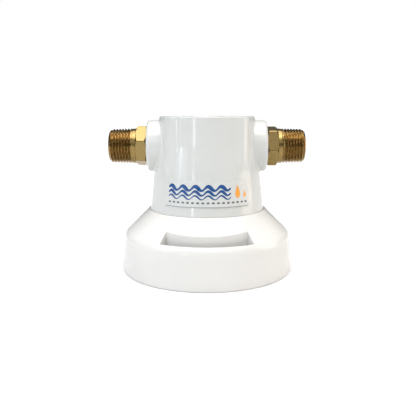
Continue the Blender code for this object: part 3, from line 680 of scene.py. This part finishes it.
def cup_body(shape):
    """The cup's turned body: its underside, ring, cone, lip, bore and peg, open at the two slots."""
    below = rounded([
        (0.0, FLOOR_UNDER_Z),
        (SLEEVE_R, FLOOR_UNDER_Z, 1.0 * mm),
        (SLEEVE_R, cone_height(SLEEVE_R) - CONE_WALL, 0.6 * mm),
        (SLOT_IN_R, cone_height(SLOT_IN_R) - CONE_WALL, 0),
        (RING_IN_R, cone_height(RING_IN_R) - CONE_WALL, 0),
        (RING_IN_R, 0.0, 0.2 * mm),
        (RING_R, 0.0, 0.5 * mm),
        (RING_R, 1.5 * mm, 0),
    ])
    wall = np.array([(RING_R, z) for z in np.linspace(1.5 * mm, 20.0 * mm, 20)[1:]])
    arc_r = RING_R - SHOULDER_ROUND * (1 - np.cos(np.linspace(0, 1, 13)[:-1] * ARC_TO_SLOT))
    shoulder = np.stack([arc_r, shoulder_height(arc_r)], axis=1)
    slope_r = np.linspace(SLOT_OUT_R + SLOT_EDGE, SLOT_IN_R - SLOT_EDGE, 9)
    slope = np.stack([slope_r, shoulder_height(slope_r)], axis=1)
    inside = rounded([
        (SLOT_IN_R - SLOT_EDGE, cone_height(SLOT_IN_R - SLOT_EDGE)),
        (LIP_R, SPLIT_Z, 0.6 * mm),
        (BORE_R, SPLIT_Z, 0.4 * mm),
        (BORE_R, 25.6 * mm),
        (SEAL_BORE_R, 23.4 * mm),
        (SEAL_BORE_R, FLOOR_Z, 0.8 * mm),
        (PEG_R, FLOOR_Z),
        (PEG_R, PEG_TOP_Z, 0.6 * mm),
        (0.0, PEG_TOP_Z),
    ])[1:]
    path = np.concatenate([below, wall, shoulder, slope, inside])
    azimuths = cup_azimuths()
    points = turned(path, azimuths)
    first_slope = len(below) + len(wall) + len(shoulder)
    inner_edge = first_slope + len(slope) - 1
    slot_corner = [SLOT_IN_R, cone_height(SLOT_IN_R) - CONE_WALL]
    first_under = int(np.argmin(np.abs(below - slot_corner).sum(axis=1)))
    for row, under in ((inner_edge, 0.0), (first_under, CONE_WALL)):
        edge_r = path[row, 0] + slot_bow(azimuths)
        points[:, row] = np.stack([edge_r * np.cos(azimuths), edge_r * np.sin(azimuths),
                                   cone_height(edge_r) - under], axis=-1)
    gate = np.hypot(points[..., 0], points[..., 2] - GATE_Z)
    on_ring = (points[..., 1] < 0) & (np.abs(path[:, 0] - RING_R) < 1e-9)
    points[..., 1] += np.where(on_ring, GATE_DEPTH * np.exp(-(gate / GATE_R)**2), 0)
    middles = slot_distance((azimuths + np.append(azimuths[1:], azimuths[0] + TURN)) / 2)
    keep = np.ones((len(azimuths), len(path) - 1), bool)
    keep[middles < SLOT_HALF + 0.9 * SLOT_EDGE / SLOT_IN_R, first_slope:inner_edge] = False
    keep[middles < SLOT_HALF - 1e-4, first_under] = False
    shape.grid(points, keep=keep)


def cup_webs(shape):
    """The pocket walls behind the slots, and the webs between the sleeve and the ring."""
    buried = CONE_WALL * 0.6
    low, high = SLEEVE_R - 0.5 * mm, RING_IN_R + 0.5 * mm
    end_web = SLOT_HALF + WEB / 2 / SLOT_IN_R
    angles = [facing + hand * end_web for facing in (FRONT, -FRONT) for hand in (-1, 1)]
    angles += [facing + angle for facing in (0, math.pi) for angle in SIDE_WEB_ANGLES]
    for azimuth in angles:
        outline = np.array([
            (low, WEB_FOOT_Z + 0.2 * mm),
            (low + 0.2 * mm, WEB_FOOT_Z),
            (high, WEB_FOOT_Z),
            (high, cone_height(high) - buried),
            (low, cone_height(low) - buried),
        ])
        sheets = [np.stack([outline[:, 0], np.full(len(outline), y), outline[:, 1]], axis=-1)
                  for y in (-WEB / 2, WEB / 2)]
        centre = [np.broadcast_to(s.mean(axis=0), s.shape) for s in sheets]
        points = np.stack([centre[0], *sheets, centre[1]], axis=1)
        shape.grid(moved(points, Matrix.Rotation(azimuth, 4, "Z")))
    for facing in (FRONT, -FRONT):
        back, face, top = SLOT_IN_R - WEB, SLOT_IN_R - 0.05 * mm, cone_height(SLOT_IN_R) - buried
        outline = np.array([(back, top), (back, WEB_FOOT_Z), (face, WEB_FOOT_Z), (face, top)])
        azimuths = facing + np.linspace(-end_web, end_web, 40)
        points = turned(outline, azimuths)
        bow = slot_bow(azimuths)[:, None]
        points[..., 0] += bow * np.cos(azimuths)[:, None]
        points[..., 1] += bow * np.sin(azimuths)[:, None]
        shape.grid(points, closed=False)


def make_cup(look):
    shape = Shape()
    cup_body(shape)
    helical_ridge(shape, BORE_R, FEMALE_CREST_R, FEMALE_START_Z)
    cup_webs(shape)
    for facing in (FRONT, -FRONT):
        slot_walls(shape, facing)
    shape.build("base_cup_moulding", "base", look, replaces=["base_cup"])


# Brass nipples -------------------------------------------------------------------------------------
def pipe_thread(shape, side):
    """The outer half of a nipple: a helical taper thread, its run-out, the chamfered end and the bore."""
    t = even(120)[:, None]
    start = HEX_END_X - 0.3 * mm
    x = np.concatenate([np.arange(start, PIPE_END_X - 2.4 * mm, 0.15 * mm),
                        np.arange(PIPE_END_X - 2.4 * mm, PIPE_END_X, 0.1 * mm), [PIPE_END_X]])[None, :]
    crest = THREAD_END_R + TAPER * (PIPE_END_X - x)
    phase = (x / THREAD_PITCH - t / TURN) % 1.0
    flank = np.clip((np.abs(phase - 0.5) * 2 - 0.1) / 0.8, 0, 1)
    run_out = smooth_step(HEX_END_X + 1.6 * mm, HEX_END_X + 4.2 * mm, x)
    groove = THREAD_DEPTH * flank * run_out
    chamfer = 9.1 * mm + (PIPE_END_X - x) * 0.9
    r = smooth_min(crest - groove - 0.15 * mm * (1 - run_out), chamfer, 0.2 * mm)
    points = np.stack([r * np.cos(t), r * np.sin(t), np.broadcast_to(x, r.shape)], axis=-1)
    shape.grid(along_x(points, side))
    end_r = points[:, -1:, :2]
    face = end_r * (PIPE_BORE_R + 0.5 * mm) / np.linalg.norm(end_r, axis=-1, keepdims=True)
    face = np.concatenate([end_r, face], axis=1)
    face = np.concatenate([face, np.full((len(t), 2, 1), PIPE_END_X)], axis=-1)
    shape.grid(along_x(face, side))
    bore = np.array([(PIPE_BORE_R + 0.5 * mm, PIPE_END_X), (PIPE_BORE_R, PIPE_END_X - 0.5 * mm),
                     (PIPE_BORE_R, PIPE_INNER_X + 0.3 * mm), (PIPE_BORE_R + 0.3 * mm, PIPE_INNER_X)])
    shape.grid(along_x(turned(bore, even(120)), side))
    tail_r = THREAD_END_R - 0.2 * mm
    tail = rounded([
        (PIPE_BORE_R + 0.3 * mm, PIPE_INNER_X),
        (tail_r, PIPE_INNER_X),
        (tail_r, HEX_START_X + 0.2 * mm),
    ])
    shape.grid(along_x(turned(tail, even(120)), side))


def hexagon(shape, side):
    """The wrench hexagon, its corners cut back by a cone at each end."""
    lean = HEX_CORNER_ANGLES[side]
    corner = lean - math.pi / 6 if side == "inlet" else math.pi / 6 - lean
    fine = np.radians([0, 0.6, 1.2, 2.0, 3.5, 6, 10, 15, 20, 25, 30])
    sixth = np.concatenate([fine, TURN / 6 - fine[-2:0:-1]])
    t = np.concatenate([corner + sixth + i * TURN / 6 for i in range(6)])[:, None]
    from_flat = (t - corner) % (TURN / 6) - TURN / 12
    prism = HEX_FLATS / 2 / np.cos(from_flat)
    prism = smooth_min(prism, HEX_FLATS / 2 / math.cos(TURN / 12) - 0.12 * mm, 0.25 * mm)
    ends = np.array([0, 0.04, 0.1, 0.18, 0.28, 0.4, 0.55, 0.7, 0.85, 1.0, 1.2, 1.4]) * mm
    middle = (HEX_START_X + HEX_END_X) / 2
    x = np.concatenate([HEX_START_X + ends, [middle], HEX_END_X - ends[::-1]])[None, :]
    outer = HEX_FLATS / 2 - 0.25 * mm + (HEX_END_X - x) * 1.6
    inner = HEX_FLATS / 2 + 0.5 * mm + (x - HEX_START_X) * 1.6
    r = smooth_min(smooth_min(prism, outer, 0.15 * mm), inner, 0.15 * mm)
    points = np.stack([r * np.cos(t), r * np.sin(t), np.broadcast_to(x, r.shape)], axis=-1)
    closing = points[:, [0, -1]].copy()
    closing[..., :2] *= 9.0 * mm / np.linalg.norm(closing[..., :2], axis=-1, keepdims=True)
    points = np.concatenate([closing[:, :1], points, closing[:, 1:]], axis=1)
    shape.grid(along_x(points, side))


def make_fitting(side, look):
    shape = Shape()
    pipe_thread(shape, side)
    hexagon(shape, side)
    shape.build(f"{side}_fitting", "head", look, replaces=[f"{side}_nipple"], sharp=28.0)


# Check valve's spring ------------------------------------------------------------------------------
def make_valve_spring(look):
    """The coil behind the poppet, drawn at one length; the real coil shortens against the retainer as the
    poppet opens.
    """
    low, high = (Vector(c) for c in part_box("valve_spring"))
    wire_r, turns = 0.3 * mm, 4
    coil_r, length = (high.z - low.z) / 2 - wire_r, high.x - low.x
    t = np.linspace(0, turns * TURN, turns * 40 + 1)[None, :]
    thick = np.full(t.shape, wire_r)
    thick[0, [0, -1]] = 0
    around = even(12)[:, None]
    r = coil_r + thick * np.cos(around)
    x = low.x + wire_r + (length - 2 * wire_r) * t / (turns * TURN) + thick * np.sin(around)
    shape = Shape()
    shape.grid(along_x(np.stack([r * np.cos(t), r * np.sin(t), x], axis=-1)))
    spring = shape.build("valve_coil", "head", look, replaces=["valve_spring"])
    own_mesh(spring)


# Label ---------------------------------------------------------------------------------------------
def on_label(along, up, lift):
    """Points on the label: distances along it and up it from its middle, and height above the neck."""
    middle = (LABEL_LOW.z + LABEL_HIGH.z) / 2
    z = middle + up
    r = neck_radius(np.zeros_like(z), z) + lift
    a = FRONT + along / LABEL_MIDDLE_R
    return np.stack([r * np.cos(a), r * np.sin(a), z], axis=-1)


def stroke(shape, line, width, lift):
    """A printed line of even or varying width along (along, up) points."""
    step = np.gradient(line, axis=0)
    normal = np.stack([-step[:, 1], step[:, 0]], axis=-1) / np.linalg.norm(step, axis=-1, keepdims=True)
    width = np.broadcast_to(width, len(line))[:, None]
    sides = [line + normal * width * s / 2 for s in (-1.0, -0.33, 0.33, 1.0)]
    flat = np.stack(sides, axis=1)
    shape.grid(on_label(flat[..., 0], flat[..., 1], lift), closed=False)


def drop(shape, centre, height, lift):
    """A water drop."""
    t = np.linspace(0, TURN, 65)
    width = height * 0.62
    edge = np.stack([width / 2 * np.sin(t) * np.sin(t / 2)**1.4, height / 2 * np.cos(t)], axis=-1)
    rings = np.linspace(1, 0, 5)[None, :, None]
    flat = np.array(centre) + np.array([0, -height * 0.12]) + (edge[:, None, :] - [0, -height * 0.12]) * rings
    shape.grid(on_label(flat[..., 0], flat[..., 1], lift), closed=False)


def make_label(looks):
    sheet = Shape()
    along = np.linspace(-LABEL_HALF_WIDTH, LABEL_HALF_WIDTH, 90)
    up = np.linspace(-LABEL_HALF_HEIGHT, LABEL_HALF_HEIGHT, 14)
    lift = np.full((len(along), len(up)), SHEET_LIFT)
    lift[[0, -1], :] = 0.02 * mm
    lift[:, [0, -1]] = 0.02 * mm
    along[[0, 1, -2, -1]] = LABEL_HALF_WIDTH * np.array([-1, -0.998, 0.998, 1])
    up[[0, 1, -2, -1]] = LABEL_HALF_HEIGHT * np.array([-1, -0.994, 0.994, 1])
    flat_along, flat_up = np.meshgrid(along, up, indexing="ij")
    sheet.grid(on_label(flat_along, flat_up, lift), closed=False)
    sheet.build("label_sheet", "head", looks["label"], replaces=["label"])

    blue = Shape()
    along = np.linspace(-24.0, 14.0, 150) * mm
    phase = (along - along[0]) / WAVE_LENGTH * TURN
    for level, swing, width in ((3.4 * mm, 1.2 * mm, 1.7 * mm), (0.6 * mm, 1.2 * mm, 1.3 * mm),
                                (-1.8 * mm, 1.1 * mm, 0.8 * mm)):
        thick = width * (1 - 0.35 * np.cos(phase + 0.6))
        stroke(blue, np.stack([along, level + swing * np.sin(phase)], axis=-1), thick, INK_LIFT)
    blue.build("label_print_waves", "head", looks["blue_ink"])
    orange = Shape()
    drop(orange, (18.6 * mm, 1.4 * mm), 7.6 * mm, INK_LIFT)
    drop(orange, (23.6 * mm, -0.3 * mm), 4.4 * mm, INK_LIFT)
    orange.build("label_print_drops", "head", looks["orange_ink"])
    grey = Shape()
    bar = np.array([(0, -4.9), (0.7, -4.9), (1.5, -4.9)]) * mm
    for i in range(17):
        stroke(grey, bar + [-23.6 * mm + i * BAR_PITCH, 0], 1.0 * mm, INK_LIFT)
    along = np.linspace(-LABEL_HALF_WIDTH, LABEL_HALF_WIDTH, 80)
    line = np.stack([along, np.full_like(along, -LABEL_HALF_HEIGHT + 0.35 * mm)], axis=-1)
    stroke(grey, line, 0.22 * mm, INK_LIFT)
    grey.build("label_print_bars", "head", looks["grey_ink"])


# Studio --------------------------------------------------------------------------------------------
def area_light(name, where, towards, size, power, colour, tall=None):
    light = bpy.data.lights.new(name, "AREA")
    light.shape = "RECTANGLE"
    light.size, light.size_y = size, tall or size
    light.energy = power
    light.color = colour
    lamp = bpy.data.objects.new(name, light)
    lamp.location = where
    lamp.rotation_euler = (Vector(towards) - Vector(where)).to_track_quat("-Z", "Y").to_euler()
    bpy.context.scene.collection.objects.link(lamp)


def make_studio():
    scene = bpy.context.scene
    scene.view_settings.view_transform = "Standard"
    world = bpy.data.worlds.new("studio")
    world.use_nodes = True
    tree = world.node_tree
    seen = add(tree, "ShaderNodeLightPath").outputs["Is Camera Ray"]
    tree.links.new(remap(tree, seen, 0, 1, 0.18, 1.0), tree.nodes["Background"].inputs["Strength"])
    tree.nodes["Background"].inputs["Color"].default_value = (1.0, 1.0, 1.0, 1.0)
    scene.world = world

    overhead = bpy.data.lights.new("overhead", "SUN")
    overhead.energy = 3.9
    overhead.angle = math.radians(70)
    lamp = bpy.data.objects.new("overhead", overhead)
    lamp.rotation_euler = (math.radians(5), 0, 0)
    scene.collection.objects.link(lamp)
    middle = (0, 0, 0.055)
    area_light("left_softbox", (-0.8, -0.5, 0.35), middle, 0.5, 1.5, (0.70, 0.86, 1.0))
    area_light("right_softbox", (0.93, -0.02, 0.2), middle, 0.5, 2.2, (1.0, 0.86, 0.70))
    area_light("front_softbox", (0, -0.85, 0.58), middle, 1.2, 1.0, (1, 1, 1), 0.3)
    area_light("top_softbox", (0, -0.216, 0.72), middle, 0.4, 0.8, (1, 1, 1), 0.12)
    area_light("panel_strip", (-0.282, -0.53, 0.06), middle, 0.035, 0.10, (0.92, 0.97, 1.0), 0.12)
    area_light("cone_strip", (-0.51, -0.32, 0.19), middle, 0.04, 0.14, (0.92, 0.97, 1.0), 0.16)

    floor = bmesh.new()
    bmesh.ops.create_grid(floor, x_segments=8, y_segments=8, size=4.0)
    mesh = bpy.data.meshes.new("floor")
    floor.to_mesh(mesh)
    floor.free()
    ground = bpy.data.objects.new("floor", mesh)
    ground.location.z = -0.1 * mm
    scene.collection.objects.link(ground)
    made, tree, shader, where = blank("floor_paper", 0.9)
    tree.links.new(blend(tree, noise(tree, where, 3.0), (0.75, 0.75, 0.75), (0.77, 0.77, 0.77)),
                   shader.inputs["Base Color"])
    shader.inputs["Specular IOR Level"].default_value = 0.0
    mesh.materials.append(made)


def make_camera():
    camera = bpy.data.cameras.new("camera")
    camera.lens = 45.86
    camera.sensor_width = 36.0
    camera.shift_x = 1 / 416
    camera.shift_y = -0.0653
    camera.clip_start = 0.01
    eye = bpy.data.objects.new("camera", camera)
    eye.location = (0.0, -0.3334, 0.0984)
    eye.rotation_euler = (math.pi / 2 - 0.1284, 0, 0)
    bpy.context.scene.collection.objects.link(eye)
    bpy.context.scene.camera = eye


# The whole filter ----------------------------------------------------------------------------------
white_cup = moulded("white_cup", (0.73, 0.715, 0.69), 0.13)
white_head = moulded("white_head", (0.625, 0.63, 0.61), 0.12)
looks = {
    "label": film("label_paper", (0.585, 0.595, 0.575), 0.3),
    "blue_ink": film("blue_ink", (0.008, 0.065, 0.22), 0.3),
    "orange_ink": film("orange_ink", (0.80, 0.33, 0.05), 0.3),
    "grey_ink": film("grey_ink", (0.10, 0.10, 0.13), 0.4),
}
# the second colour is the painted shade in the thread roots, blotched with tarnish; the first is the crests'
# and hex's colour
old_brass = brass("old_brass", (0.29, 0.205, 0.08), (0.26, 0.145, 0.043))
black_rubber = rubber("black_rubber")
acetal = moulded("acetal", (0.74, 0.75, 0.74), 0.35, grain=4200.0, relief=0.008 * mm)
blue_plastic = moulded("blue_plastic", (0.05, 0.22, 0.55), 0.3, grain=3400.0, relief=0.008 * mm)
carried = {
    "main_o_ring": black_rubber,
    "nozzle_o_ring": black_rubber,
    "valve_o_ring": black_rubber,
    "poppet_seal": black_rubber,
    "element_gasket": black_rubber,
    "inlet_screen_rim": black_rubber,
    "inlet_screen_mesh": woven("screen_mesh", (0.7, 0.7, 0.69), (0.06, 0.06, 0.06), 0.7 * mm, 0.25, 1.0),
    "valve_body": acetal,
    "valve_retainer": acetal,
    "poppet": blue_plastic,
    "element_lower_cap": blue_plastic,
    "element_upper_cap": blue_plastic,
    "core_tube": moulded("core_plastic", (0.8, 0.8, 0.78), 0.4),
    "carbon_block": porous("carbon", (0.006, 0.006, 0.006), (0.03, 0.03, 0.03), 1400.0, 0.2 * mm, 0.85),
    "prefilter_wrap": porous("fleece", (0.62, 0.62, 0.6), (0.9, 0.9, 0.88), 900.0, 0.3 * mm, 0.9),
    "outer_net": woven("element_net", (0.82, 0.86, 0.9), (0.45, 0.5, 0.55), 2.5 * mm, 0.45),
    "inlet_thread_tape": tape("inlet_tape"),
    "outlet_thread_tape": tape("outlet_tape"),
}
for node, look in carried.items():
    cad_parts[node].material_slots[0].material = look

make_cup(white_cup)
make_head(white_head)
for side in ("inlet", "outlet"):
    make_fitting(side, old_brass)
make_valve_spring(steel("spring_steel"))
make_label(looks)
make_studio()
make_camera()
